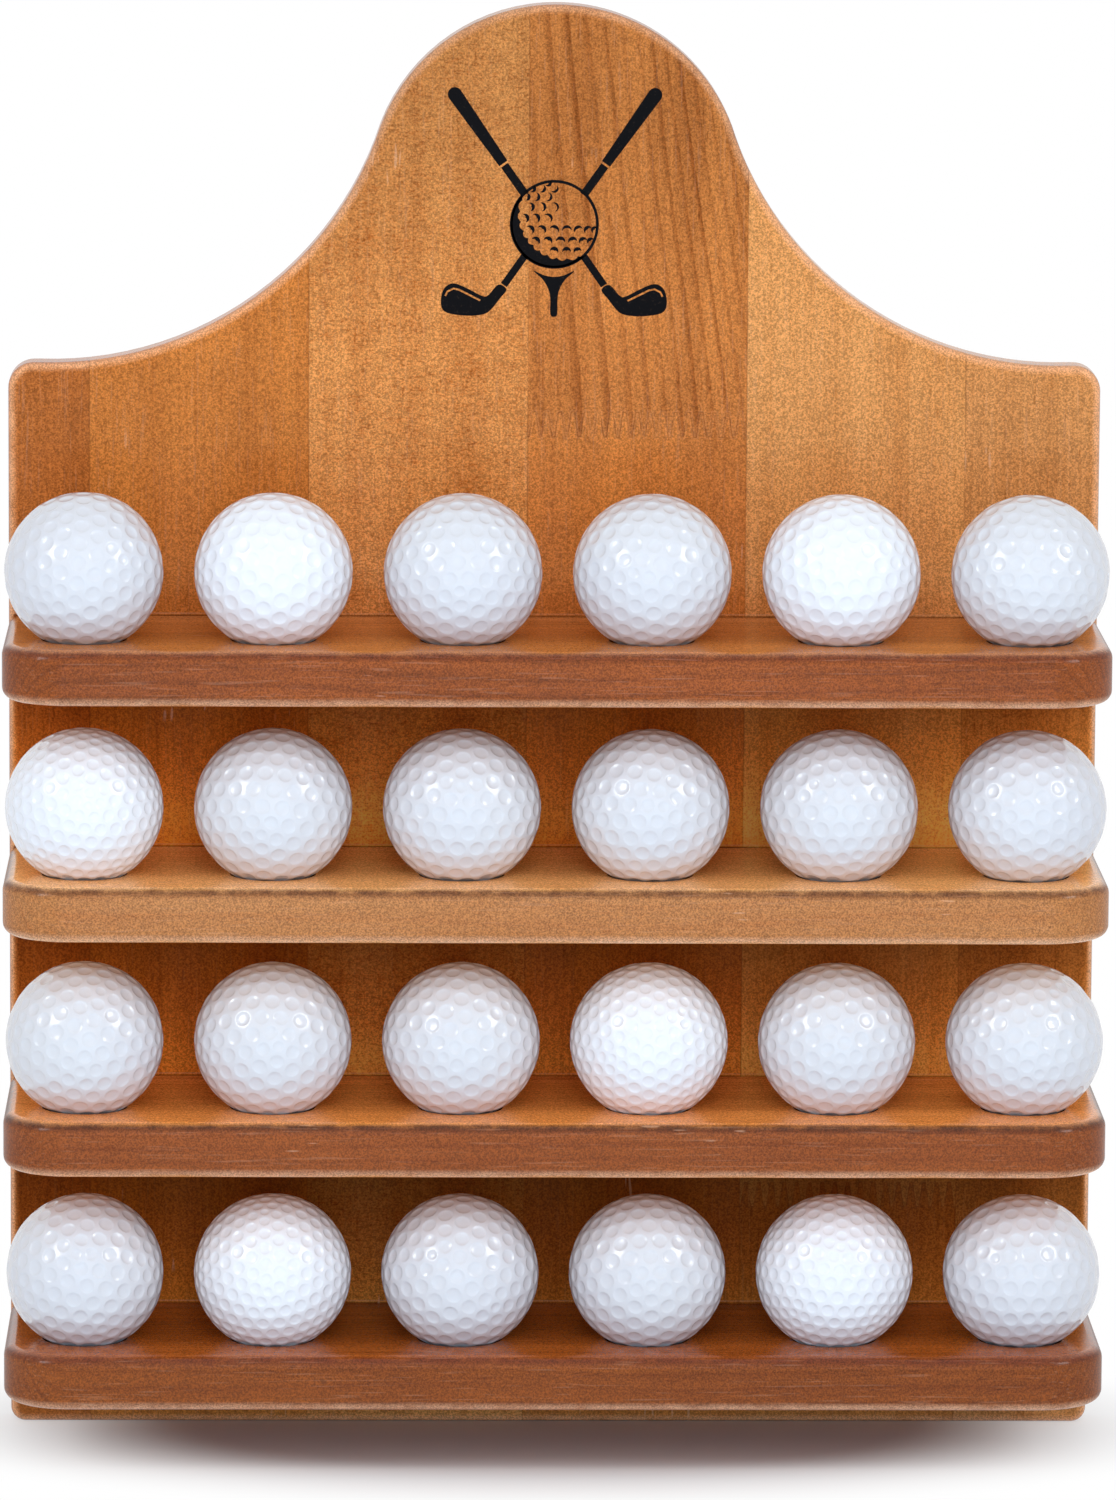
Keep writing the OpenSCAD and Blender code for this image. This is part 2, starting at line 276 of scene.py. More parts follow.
class Graph:
    """Adds nodes to a node tree: a socket or a plain value goes in, and the first output comes back."""

    def __init__(self, tree):
        self.tree = tree

    def feed(self, socket, value):
        if isinstance(value, bpy.types.NodeSocket):
            self.tree.links.new(value, socket)
        else:
            socket.default_value = value

    def add(self, kind, sockets=None, **settings):
        node = self.tree.nodes.new(kind)
        for key, value in settings.items():
            setattr(node, key, value)
        for key, value in (sockets or {}).items():
            self.feed(node.inputs[key], value)
        return node

    def group(self, group, sockets):
        return self.add("ShaderNodeGroup", sockets, node_tree=group).outputs

    def math(self, operation, a, b=0.0, clamp=False):
        return self.add("ShaderNodeMath", {0: a, 1: b}, operation=operation, use_clamp=clamp).outputs[0]

    def sum(self, a, b, clamp=False):
        return self.math("ADD", a, b, clamp)

    def difference(self, a, b):
        return self.math("SUBTRACT", a, b)

    def product(self, a, b):
        return self.math("MULTIPLY", a, b)

    def apart(self, a, b):
        """How far two numbers are apart."""
        return self.math("ABSOLUTE", self.difference(a, b))

    def vector(self, operation, a, b=(0, 0, 0)):
        return self.add("ShaderNodeVectorMath", {0: a, 1: b}, operation=operation).outputs[0]

    def length(self, a):
        return self.add("ShaderNodeVectorMath", {0: a}, operation="LENGTH").outputs["Value"]

    def dot(self, a, b):
        return self.add("ShaderNodeVectorMath", {0: a, 1: b}, operation="DOT_PRODUCT").outputs["Value"]

    def times(self, vector, factor):
        sockets = {0: vector, "Scale": factor}
        return self.add("ShaderNodeVectorMath", sockets, operation="SCALE").outputs[0]

    def split(self, vector):
        return self.add("ShaderNodeSeparateXYZ", {0: vector}).outputs

    def join(self, x, y, z):
        return self.add("ShaderNodeCombineXYZ", {0: x, 1: y, 2: z}).outputs[0]

    def noise(self, vector, scale, detail, roughness=0.5, seed=0.0):
        sockets = {"Vector": vector, "W": seed, "Scale": scale, "Detail": detail, "Roughness": roughness}
        return self.add("ShaderNodeTexNoise", sockets, noise_dimensions="4D").outputs

    def grain(self, vector, scales, detail, roughness, seed=0.0):
        """Noise with its own scale along each axis, so that it can be drawn out along the grain."""
        return self.noise(self.vector("MULTIPLY", vector, scales), 1, detail, roughness, seed)

    def step(self, value, low, high, to_low=0.0, to_high=1.0):
        """Goes smoothly from to_low to to_high while the value goes from low to high."""
        ends = {"From Min": low, "From Max": high, "To Min": to_low, "To Max": to_high}
        return self.add(
            "ShaderNodeMapRange", {"Value": value, **ends}, interpolation_type="SMOOTHSTEP",
        ).outputs[0]

    def line(self, distance, core, rim):
        """1 within core of where the distance is 0, and 0 from rim on."""
        return self.step(distance, core, rim, 1.0, 0.0)

    def mix(self, factor, a, b, blend="MIX"):
        node = self.add("ShaderNodeMix", data_type="RGBA", blend_type=blend)
        for socket, value in ((0, factor), (6, a), (7, b)):
            self.feed(node.inputs[socket], value)
        return node.outputs[2]

    def lay(self, color, over, mask, strength):
        """A colour with another one over it, where the mask is."""
        return self.mix(self.product(mask, strength), color, over)

    def dim(self, color, share):
        """A colour with its red, green and blue times the same share."""
        return self.mix(1.0, color, self.join(share, share, share), "MULTIPLY")


def new_group(name, inputs, outputs):
    """An empty node group, with its graph, its inputs and its output node. It has an input called
    Vector, inputs of the given names and defaults, and outputs that are numbers."""
    tree = bpy.data.node_groups.new(name, "ShaderNodeTree")
    for label, value in {"Vector": (0, 0, 0), **inputs}.items():
        kind = "NodeSocketVector" if isinstance(value, tuple) else "NodeSocketFloat"
        tree.interface.new_socket(label, in_out="INPUT", socket_type=kind).default_value = value
    for label in outputs:
        tree.interface.new_socket(label, in_out="OUTPUT", socket_type="NodeSocketFloat")
    graph = Graph(tree)
    return graph, graph.add("NodeGroupInput").outputs, graph.add("NodeGroupOutput").inputs


def growth_rings():
    """Annual rings round a leaning pith, wherever the plank's faces cut them. Grain runs along Z."""
    g, given, out = new_group(
        "Growth rings",
        {"Pith": (0, 0, 0), "Lean": (0, 0, 0), "Ring width": 2 * MM, "Seed": 0},
        ["Late wood", "Ring tone"],
    )
    vector, seed = given["Vector"], given["Seed"]
    wander = g.grain(vector, (26, 26, 7), 1.5, 0.5, seed)[1]
    wander = g.times(g.vector("SUBTRACT", wander, (0.5, 0.5, 0.5)), 5 * MM)
    place = g.vector("SUBTRACT", vector, given["Pith"])
    place = g.vector("SUBTRACT", place, g.times(given["Lean"], g.split(vector)[2]))
    place = g.vector("ADD", place, wander)
    radius = g.length(g.vector("MULTIPLY", place, (1, 1, 0)))
    ragged = g.grain(vector, (900, 900, 60), 2, 0.6, seed)[0]
    ragged = g.product(g.difference(ragged, 0.5), 0.16)
    rings = g.sum(g.math("DIVIDE", radius, given["Ring width"]), ragged)
    share = g.math("FRACT", rings)
    late = g.product(g.step(share, 0.50, 0.92), g.step(share, 0.94, 1.0, 1.0, 0.0))
    number = {"W": g.math("FLOOR", rings)}
    g.feed(out["Late wood"], late)
    g.feed(out["Ring tone"], g.add("ShaderNodeTexWhiteNoise", number, noise_dimensions="1D").outputs[0])
    return g.tree


def wood_fibre():
    """Streaks, broad and fine, short dark flecks and pale hairs along the grain."""
    g, given, out = new_group("Wood fibre", {"Seed": 0}, ["Streaks", "Flecks", "Hairs"])
    vector, seed = given["Vector"], given["Seed"]
    broad = g.grain(vector, (120, 120, 4), 3, 0.6, seed)[0]
    fine = g.grain(vector, (1500, 1500, 90), 2, 0.6, seed)[0]
    streaks = g.sum(g.product(broad, 0.70), g.product(fine, 0.30))
    flecks = g.grain(vector, (1300, 1300, 190), 1, 0.5, seed)[0]
    hairs = g.grain(vector, (1900, 1900, 75), 1, 0.5, seed)[0]
    g.feed(out["Streaks"], g.step(streaks, 0.33, 0.67))
    g.feed(out["Flecks"], g.step(flecks, 0.64, 0.74))
    g.feed(out["Hairs"], g.step(hairs, 0.58, 0.72))
    return g.tree


def curly_figure():
    """Short ripples and ticks across the grain, with a slow shimmer of light and dark."""
    g, given, out = new_group("Curly figure", {"Seed": 0}, ["Ripples", "Shimmer"])
    vector, seed = given["Vector"], given["Seed"]
    bent = g.grain(vector, (70, 70, 70), 2, 0.5, seed)[1]
    bent = g.times(g.vector("SUBTRACT", bent, (0.5, 0.5, 0.5)), 4 * MM)
    place = g.vector("ADD", vector, bent)
    ripples = g.grain(place, (560, 560, 1900), 2, 0.6, seed)[0]
    shimmer = g.grain(place, (60, 60, 170), 3, 0.6, seed)[0]
    ticks = g.grain(vector, (700, 700, 1500), 0, 0.5, seed)[0]
    g.feed(out["Ripples"], g.sum(g.step(ripples, 0.48, 0.70), g.step(ticks, 0.70, 0.78), clamp=True))
    g.feed(out["Shimmer"], g.step(shimmer, 0.3, 0.7))
    return g.tree


def speckle():
    """Fine grainy mottling whose grains have a given size, and blotches a few centimetres wide."""
    g, given, out = new_group("Speckle", {"Size": 0.6 * MM, "Seed": 0}, ["Speckle", "Blotches"])
    sized = g.times(given["Vector"], g.math("DIVIDE", 1.0, given["Size"]))
    grains = g.noise(sized, 1, 3, 0.7, given["Seed"])[0]
    blotches = g.noise(given["Vector"], 22, 3, 0.55, given["Seed"])[0]
    g.feed(out["Speckle"], g.step(grains, 0.3, 0.7))
    g.feed(out["Blotches"], g.step(blotches, 0.3, 0.7))
    return g.tree


def edge_round():
    """Masks of a plank's faces. Front is the face whose direction is Face, Side is all that lies
    square to it, and Edge and Far edge are the rounded edges round that face and the one behind it,
    in patches, where painted highlight and painted shade go."""
    g, given, out = new_group(
        "Rounded edge", {"Normal": (0, 0, 1), "Face": (0, 0, 1)}, ["Edge", "Far edge", "Side", "Front"],
    )
    facing = g.dot(given["Normal"], given["Face"])
    square = g.product(facing, facing)
    patchy = g.step(g.noise(given["Vector"], 160, 3, 0.6)[0], 0.25, 0.65, 0.50, 1.0)
    turn = g.product(g.product(g.product(square, g.difference(1.0, square)), 4.0), patchy)
    g.feed(out["Edge"], g.product(turn, g.step(facing, 0.0, 0.3)))
    g.feed(out["Far edge"], g.product(turn, g.step(facing, -0.3, 0.0, 1.0, 0.0)))
    g.feed(out["Side"], g.step(square, 0.2, 0.9, 1.0, 0.0))
    g.feed(out["Front"], g.step(facing, 0.7, 0.95))
    return g.tree


def finger_joint():
    """The zigzag glue line of a finger joint, as a dark line with a pale one beside it, the pale one a
    painted highlight. Its left end is at Corner, and it runs along X."""
    g, given, out = new_group(
        "Finger joint",
        {"Corner": (0, 0, 0), "Pitch": 3.5 * MM, "Finger length": 6.8 * MM, "Tip": 0.8 * MM},
        ["Line", "Sheen"],
    )
    pale_line_at = 0.34 * MM
    place = g.split(g.vector("SUBTRACT", given["Vector"], given["Corner"]))
    half = g.product(given["Pitch"], 0.5)
    flat = g.product(given["Tip"], 0.5)
    reach = g.product(given["Finger length"], 0.5)
    across = g.math("PINGPONG", place[0], half)
    past_root = g.difference(across, flat)
    past_tip = g.difference(g.difference(half, flat), across)
    over_root = g.sum(place[2], reach)
    over_tip = g.difference(place[2], reach)
    start = g.join(past_root, 0.0, over_root)
    flank = g.join(g.difference(half, given["Tip"]), 0.0, given["Finger length"])
    share = g.math("DIVIDE", g.dot(start, flank), g.dot(flank, flank), clamp=True)
    on_flank = g.length(g.vector("SUBTRACT", start, g.times(flank, share)))
    on_root = g.length(g.join(g.math("MAXIMUM", past_root, 0.0), 0.0, over_root))
    on_tip = g.length(g.join(g.math("MAXIMUM", past_tip, 0.0), 0.0, over_tip))
    near = g.math("MINIMUM", on_flank, g.math("MINIMUM", on_root, on_tip))
    patchy = g.step(g.noise(given["Vector"], 300, 1)[0], 0.3, 0.7, 0.1, 1.0)
    g.feed(out["Line"], g.product(g.line(near, 0.06 * MM, 0.26 * MM), patchy))
    g.feed(out["Sheen"], g.line(g.apart(near, pale_line_at), 0.05 * MM, 0.3 * MM))
    return g.tree


def compartments():
    """Where a point of the board lies in its compartment, for the painted light and shade there. First
    is the height of the top shelf's face, Pitch the distance between shelves, Opening the height
    between two of them and Front a mask of the board's front face. Line and Sheen are the dark and
    the pale line along the foot of each, where a shelf meets the board: the dark one is stain with
    painted shadow in the corner, the pale one a painted highlight. Row counts the compartments down
    from 0, and Rise goes from 0 at the foot of one to 1 under the shelf over it."""
    g, given, out = new_group(
        "Compartments",
        {"First": 0, "Pitch": 60 * MM, "Opening": 45 * MM, "Rows": 3, "Front": 1},
        ["Line", "Sheen", "Sheltered", "Row", "Rise"],
    )
    pale_line_at = 0.75 * MM
    fall = g.difference(given["First"], g.split(given["Vector"])[2])
    row = g.math("FLOOR", g.math("DIVIDE", fall, given["Pitch"]))
    over = g.difference(g.product(g.sum(row, 1.0), given["Pitch"]), fall)
    meets_shelf = g.product(g.math("GREATER_THAN", row, -1.5), given["Front"])
    patchy = g.step(g.noise(given["Vector"], 90, 2)[0], 0.3, 0.7, 0.6, 1.0)
    uneven = g.product(patchy, meets_shelf)
    pale_line = g.line(g.apart(over, pale_line_at), 0.1 * MM, 0.3 * MM)
    inside = g.product(g.math("GREATER_THAN", row, -0.5), g.math("LESS_THAN", row, given["Rows"]))
    g.feed(out["Line"], g.product(g.line(over, 0.2 * MM, 0.5 * MM), uneven))
    g.feed(out["Sheen"], g.product(pale_line, uneven))
    g.feed(out["Sheltered"], g.product(inside, given["Front"]))
    g.feed(out["Row"], row)
    g.feed(out["Rise"], g.math("DIVIDE", over, given["Opening"], clamp=True))
    return g.tree


def glue_seam():
    """A thin dark line where a stave meets its neighbour. Middle and Half give the stave's width."""
    g, given, out = new_group("Glue seam", {"Middle": 0, "Half": 30 * MM}, ["Line"])
    inside = g.difference(given["Half"], g.apart(g.split(given["Vector"])[0], given["Middle"]))
    patchy = g.step(g.noise(given["Vector"], 60, 2)[0], 0.3, 0.7, 0.2, 1.0)
    g.feed(out["Line"], g.product(g.line(inside, 0.08 * MM, 0.3 * MM), patchy))
    return g.tree


def scuffs():
    """Sparse short pale scratches and a few dark dents."""
    g, given, out = new_group("Scuffs", {"Seed": 0}, ["Scratches", "Dents"])
    vector, seed = given["Vector"], given["Seed"]
    worn_here = g.step(g.noise(vector, 35, 1, 0.5, seed)[0], 0.66, 0.70)
    lines = g.grain(vector, (1100, 1100, 120), 0, 0.5, seed)[0]
    spots = g.noise(vector, 330, 0, 0.5, seed)[0]
    g.feed(out["Scratches"], g.product(worn_here, g.step(lines, 0.66, 0.72)))
    g.feed(out["Dents"], g.step(spots, 0.855, 0.875))
    return g.tree


def shared(name, build):
    """The node group of that name, built at its first use."""
    return bpy.data.node_groups.get(name) or build()


def new_material(name):
    """An empty node material, its graph, its shader and the object's coordinates."""
    material = bpy.data.materials.new(name)
    material.use_nodes = True
    tree = material.node_tree
    tree.nodes.clear()
    graph = Graph(tree)
    shader = graph.add("ShaderNodeBsdfPrincipled")
    output = graph.add("ShaderNodeOutputMaterial")
    tree.links.new(shader.outputs[0], output.inputs[0])
    return material, graph, shader, graph.add("ShaderNodeTexCoord").outputs


def bump(graph, height, depth):
    """The normals of a surface with a relief of that depth."""
    return graph.add("ShaderNodeBump", {"Height": height, "Distance": depth, "Strength": 1.0}).outputs[0]


# How far each feature of the wood takes a plank's colour from its light to its dark wood
STREAK_TONE = 0.46
SHIMMER_TONE = 0.25
RIPPLE_TONE = 0.62
BLOTCH_TONE = 0.20
# The speckle's grains, and the lightness of their darkest and lightest spots
SPECKLE_SIZE = 0.48 * MM
SPECKLE_RANGE = (0.62, 1.38)
# Where the painted shade at a plank's upper end starts and is at its darkest, below its top
END_RANGE = (100 * MM, 20 * MM)
# Painted light and shade on the board behind the balls, as shares of its red, green and blue: from
# lighter at a compartment's foot to darker under the shelf over it, and the lightest that it gets
BAY_FOOT = [2.40, 2.05, 1.25, 1]
BAY_HEAD = [0.47, 0.24, 0.09, 1]
BAY_LIGHTEST = [0.92, 0.50, 0.22, 1]
# Painted shade of the lowest compartment: how light it is, as a share of the board above the shelves
LOWEST_BAY = 0.42


def plank_tone(g, plank, rings, fibre, curl, mottle):
    """Where a plank is light and where it is dark, from 0 to 1."""
    late = g.product(rings["Late wood"], g.step(rings["Ring tone"], 0, 1, 0.45, 1.0))
    tone = g.product(late, plank.contrast)
    for mask, strength in (
        (fibre["Streaks"], STREAK_TONE * (1 - plank.curl / 2)),
        (curl["Shimmer"], SHIMMER_TONE * plank.curl),
        (curl["Ripples"], RIPPLE_TONE * plank.curl),
        (mottle["Blotches"], BLOTCH_TONE),
    ):
        tone = g.sum(tone, g.product(mask, strength))
    return g.sum(tone, g.product(fibre["Flecks"], plank.fleck), clamp=True)


def behind_balls(g, color, bay, rows):
    """Painted light and shade on the board in the compartments between the shelves: lighter at each
    foot, darker under each shelf and in the lower rows.
    """
    painted_light_and_shade = g.mix(bay["Rise"], BAY_FOOT, BAY_HEAD)
    painted_light_and_shade = g.dim(painted_light_and_shade, g.step(bay["Row"], -1, rows - 0.5, 1.0, LOWEST_BAY))
    painted_light_and_shade = g.mix(1.0, g.mix(1.0, color, painted_light_and_shade, "MULTIPLY"), BAY_LIGHTEST, "DARKEN")
    return g.mix(bay["Sheltered"], color, painted_light_and_shade)


def wood_material(name, face, grain_along_x, joints=(), bays=None):
    """Stained pine for one plank. face is the direction of its largest face, joints are the corners
    of its finger joints with their pitch, and bays are the settings of the compartments before it."""
    plank = PLANKS[name]
    wood = bpy.context.scene.rack_wood
    # pale also draws painted highlights: on the far rounded edges, beside the finger joints and along
    # the compartments' feet
    pale = [*wood.wear_and_highlight_color, 1]
    # stain also draws the painted shadow along the foot of each compartment
    stain = [*wood.glue_and_shadow_color, 1]
    low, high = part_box(name)
    centre = (low + high) / 2
    material, g, shader, coordinates = new_material(f"stained pine {name}")
    turn = Euler((0, -math.pi / 2 if grain_along_x else 0, 0))
    shift = turn.to_matrix() @ -centre
    place = g.add(
        "ShaderNodeMapping", {"Vector": coordinates["Object"], "Location": shift, "Rotation": turn},
    ).outputs[0]
    seeded = {"Vector": place, "Seed": float(plank.seed)}
    rings = g.group(shared("Growth rings", growth_rings), {
        **seeded, "Pith": [plank.pith[0] * MM, plank.pith[1] * MM, 0],
        "Lean": [*plank.lean, 0], "Ring width": plank.ring * MM,
    })
    fibre = g.group(shared("Wood fibre", wood_fibre), seeded)
    curl = g.group(shared("Curly figure", curly_figure), seeded)
    mottle = g.group(shared("Speckle", speckle), {**seeded, "Size": SPECKLE_SIZE})
    worn = g.group(shared("Scuffs", scuffs), seeded)
    edge = g.group(shared("Rounded edge", edge_round), {
        "Normal": coordinates["Normal"], "Face": face, "Vector": place,
    })
    tone = plank_tone(g, plank, rings, fibre, curl, mottle)
    color = g.mix(tone, plank.light, plank.dark)
    # Painted light and shade: on the shelves the fronts and ends darker than the tops
    color = g.mix(edge["Side"], color, g.mix(1.0, color, [*plank.side, 1], "MULTIPLY"))
    # The rounded edges round the face: a pale painted highlight on the staves, a dark band of stain and
    # painted shade on the shelves
    color = g.lay(color, plank.rim, edge["Edge"], 0.85)
    # Painted highlight on the rounded edges behind the face
    color = g.lay(color, pale, edge["Far edge"], 0.65)
    color = g.dim(color, g.step(mottle["Speckle"], 0, 1, *SPECKLE_RANGE))
    # Painted shade: the plank's upper end darker
    if plank.top != 1:
        height = g.split(coordinates["Object"])[2]
        start, full = (high.z - depth for depth in END_RANGE)
        color = g.dim(color, g.step(height, start, full, 1.0, plank.top))
    color = g.lay(color, pale, fibre["Hairs"], 0.10)
    lines = []
    if not grain_along_x:
        seam = g.group(shared("Glue seam", glue_seam), {
            "Vector": coordinates["Object"], "Middle": centre.x, "Half": (high.x - low.x) / 2,
        })
        lines.append((seam["Line"], 0.45))
    for corner, pitch in joints:
        joint = g.group(shared("Finger joint", finger_joint), {
            "Vector": coordinates["Object"], "Corner": corner, "Pitch": pitch,
        })
        # Painted highlight beside the finger joint's glue line
        color = g.lay(color, pale, joint["Sheen"], 0.06)
        lines.append((joint["Line"], 0.55))
    if bays:
        bay = g.group(shared("Compartments", compartments), {
            "Vector": coordinates["Object"], "Front": edge["Front"], **bays,
        })
        # Painted light and shade in the compartments; along each foot a painted highlight line and a
        # dark line of stain and painted shadow
        color = behind_balls(g, color, bay, bays["Rows"])
        color = g.lay(color, pale, bay["Sheen"], 0.30)
        lines.append((bay["Line"], 0.85))
        coat = g.step(edge["Side"], 0, 1, 0.12, 1.0)
        coat = g.product(coat, g.step(bay["Sheltered"], 0, 1, 1.0, 0.3))
    else:
        coat = g.step(edge["Side"], 0, 1, 1.0, 0.55)
    relief = tone
    # Glue seams and finger joints in stain; the compartments' foot line in stain and painted shadow
    for line, strength in lines:
        color = g.lay(color, stain, line, strength)
        relief = g.sum(relief, g.product(line, 0.5))
    color = g.lay(color, pale, worn["Scratches"], 0.35)
    color = g.lay(color, stain, worn["Dents"], 0.6)
    height = g.difference(g.product(mottle["Speckle"], 0.6), relief)
    g.feed(shader.inputs["Base Color"], color)
    g.feed(shader.inputs["Roughness"], g.step(tone, 0, 1, wood.roughness - 0.06, wood.roughness + 0.10))
    g.feed(shader.inputs["Normal"], bump(g, height, wood.grain_depth))
    g.feed(shader.inputs["Coat Weight"], coat)
    shader.inputs["Specular IOR Level"].default_value = 0.0
    shader.inputs["Coat IOR"].default_value = 1.5
    shader.inputs["Coat Roughness"].default_value = 0.22
    return material


def deselect():
    """Leaves no piece selected."""
    bpy.ops.object.select_all(action="DESELECT")


def pick(piece):
    """Makes a piece the only one selected, and the active one."""
    deselect()
    piece.select_set(True)
    bpy.context.view_layer.objects.active = piece


def finish_node(name, material):
    """Gives a frame node its material, and joins its faces so that curved ones shade smoothly."""
    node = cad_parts[name]
    node.data.materials.clear()
    node.data.materials.append(material)
    pick(node)
    bpy.ops.object.shade_smooth()
    weld = node.modifiers.new("Weld", "WELD")
    weld.merge_threshold = 0.002 * MM
    split = node.modifiers.new("Sharp edges", "EDGE_SPLIT")
    split.split_angle = math.radians(38)
    flat = node.modifiers.new("Flat faces", "WEIGHTED_NORMAL")
    flat.weight = 100


def joint_corner(stave):
    """The left end of a stave's finger joint, and the pitch of its fingers."""
    low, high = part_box(stave + "_lower")
    middle = (high.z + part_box(stave + "_upper")[0].z) / 2
    return (low.x, 0, middle), (high.x - low.x) / FINGERS


class RACK_OT_staves(bpy.types.Operator):
    """Stain and lacquer the staves of the back board, with painted light and shade in the compartments
    and painted shade at the crown
    """

    bl_idname = "rack.staves"
    bl_label = "Staves"

    def execute(self, context):
        first_low, first_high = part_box(SHELVES[0])
        next_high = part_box(SHELVES[1])[1]
        bays = {
            "First": first_high.z, "Pitch": first_high.z - next_high.z,
            "Opening": first_low.z - next_high.z, "Rows": len(SHELVES) - 1.0,
        }
        for name in STAVES:
            joints = [joint_corner(stave) for stave in JOINTED_STAVES if name.startswith(stave)]
            wood = wood_material(name, face=(0, -1, 0), grain_along_x=False, joints=joints, bays=bays)
            finish_node(name, wood)
        return {"FINISHED"}


class RACK_OT_shelves(bpy.types.Operator):
    """Stain and lacquer the shelves, with their tops painted lighter and their fronts darker as painted
    light and shade
    """

    bl_idname = "rack.shelves"
    bl_label = "Shelves"

    def execute(self, context):
        for name in SHELVES:
            wood = wood_material(name, face=(0, 0, 1), grain_along_x=True)
            finish_node(name, wood)
        return {"FINISHED"}


# Balls that differ from most: ones of a lighter white, and ones with smaller dimples that lie closer
OTHER_BALLS = {
    "ball_1_2": "bright", "ball_1_5": "bright",
    "ball_2_1": "close", "ball_3_4": "close", "ball_4_2": "close", "ball_4_5": "close",
}
# The slope of a dimple from its rim inwards: the width of each ring, as a share of the distance
# between two dimples, and how much of the depth it falls
DIMPLE_RINGS = ((0.02, 0.16), (0.09, 0.50), (0.15, 0.34))


def faces_where(mesh, wanted):
    """Selects the faces that wanted picks, and only those, from object mode. Edit mode has to have
    been left with faces as what is selected, or it takes in their neighbours when it is entered."""
    for vertex in mesh.vertices:
        vertex.select = False
    for edge in mesh.edges:
        edge.select = False
    for face in mesh.polygons:
        face.select = wanted(face)


def dimpled_ball(rows):
    """One ball at the origin: an icosahedron cut into rows, whose corners become the dimples."""
    cover = bpy.context.scene.rack_ball
    deselect()
    bpy.ops.mesh.primitive_ico_sphere_add(subdivisions=1, radius=BALL_R)
    ball = bpy.context.object
    bpy.ops.object.mode_set(mode="EDIT")
    bpy.ops.mesh.select_all(action="SELECT")
    bpy.ops.mesh.subdivide(number_cuts=rows - 1)
    bpy.ops.object.mode_set(mode="OBJECT")
    to_ball(ball)
    dimples = len(ball.data.vertices)
    spacing = math.sqrt(4 * math.pi * BALL_R ** 2 / dimples / math.sin(math.radians(60)))
    bpy.ops.object.mode_set(mode="EDIT")
    bpy.ops.mesh.select_mode(type="VERT")
    bpy.ops.mesh.select_all(action="SELECT")
    bpy.ops.mesh.bevel(
        affect="VERTICES", offset_type="PERCENT", offset_pct=100 * cover.dimple_share, segments=1,
    )
    bpy.ops.mesh.select_mode(type="FACE")
    bpy.ops.object.mode_set(mode="OBJECT")
    areas = sorted((face.area for face in ball.data.polygons), reverse=True)
    least = (areas[dimples - 1] + areas[dimples]) / 2
    faces_where(ball.data, lambda face: face.area > least)
    bpy.ops.object.mode_set(mode="EDIT")
    for width, fall in DIMPLE_RINGS:
        bpy.ops.mesh.inset(
            thickness=width * spacing, depth=-fall * cover.dimple_depth, use_individual=True,
        )
    bpy.ops.object.mode_set(mode="OBJECT")
    smooth = ball.modifiers.new("Smooth", "SUBSURF")
    smooth.levels = smooth.render_levels = 1
    bpy.ops.object.modifier_apply(modifier=smooth.name)
    bpy.ops.object.shade_smooth()
    widest = max(vertex.co.length for vertex in ball.data.vertices)
    ball.data.transform(Matrix.Scale(BALL_R / widest, 4))
    return ball


def to_ball(ball):
    """Moves a piece's points out to the ball's radius."""
    cast = ball.modifiers.new("Round", "CAST")
    cast.factor = 1
    cast.size = BALL_R
    cast.use_radius_as_size = False
    bpy.ops.object.modifier_apply(modifier=cast.name)


def cover_material(name, color):
    """Glossy white cover, with a faint unevenness of tint and gloss."""
    material, g, shader, coordinates = new_material(name)
    mottle = g.group(shared("Speckle", speckle), {"Vector": coordinates["Object"], "Size": 2.5 * MM})
    red_green_share = 0.95
    cool = [red_green_share * c for c in color[:2]] + [color[2], 1]
    g.feed(shader.inputs["Base Color"], g.lay([*color, 1], cool, mottle["Blotches"], 0.3))
    g.feed(shader.inputs["Roughness"], g.step(mottle["Speckle"], 0, 1, 0.16, 0.24))
    shader.inputs["Specular IOR Level"].default_value = 0.5
    shader.inputs["Coat Weight"].default_value = 0.5
    shader.inputs["Coat Roughness"].default_value = 0.12
    return material


class RACK_OT_balls(bpy.types.Operator):
    """Put a dimpled ball in every seat, each turned its own way"""

    bl_idname = "rack.balls"
    bl_label = "Balls"

    def execute(self, context):
        cover = context.scene.rack_ball
        wide, close = cover.wide_rows, cover.close_rows
        kinds = {
            "wide": (dimpled_ball(wide), cover_material("soft white cover", cover.soft_white)),
            "bright": (dimpled_ball(wide), cover_material("bright white cover", cover.bright_white)),
            "close": (dimpled_ball(close), cover_material("glossy white cover", cover.bright_white)),
        }
        turns = random.Random(7)
        for name in BALLS:
            low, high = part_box(name)
            master, material = kinds[OTHER_BALLS.get(name, "wide")]
            angles = [turns.uniform(0, math.tau) for _ in range(3)]
            mesh = master.data.copy()
            mesh.transform(Matrix.Translation((low + high) / 2) @ Euler(angles).to_matrix().to_4x4())
            ball = bpy.data.objects.new(name.replace("ball", "golf_ball"), mesh)
            context.scene.collection.objects.link(ball)
            mesh.materials.append(material)
            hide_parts(name)
            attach(ball, name)
        for master, _ in kinds.values():
            bpy.data.objects.remove(master)
        return {"FINISHED"}


def bar(start, end, start_width, end_width, round_start=False, steps=10):
    """Outline of a tapered bar, square at its end and square or round at its start."""
    start, end = Vector(start), Vector(end)
    way = (end - start).normalized()
    side = Vector((-way.y, way.x))
    points = []
    for at, width, sign, rounded in ((end, end_width, 1, False), (start, start_width, -1, round_start)):
        for i in range(steps + 1):
            a = math.pi * i / steps
            out = math.sin(a) if rounded else 0
            points.append(at + (side * -math.cos(a) + way * out) * (sign * width / 2))
    return points


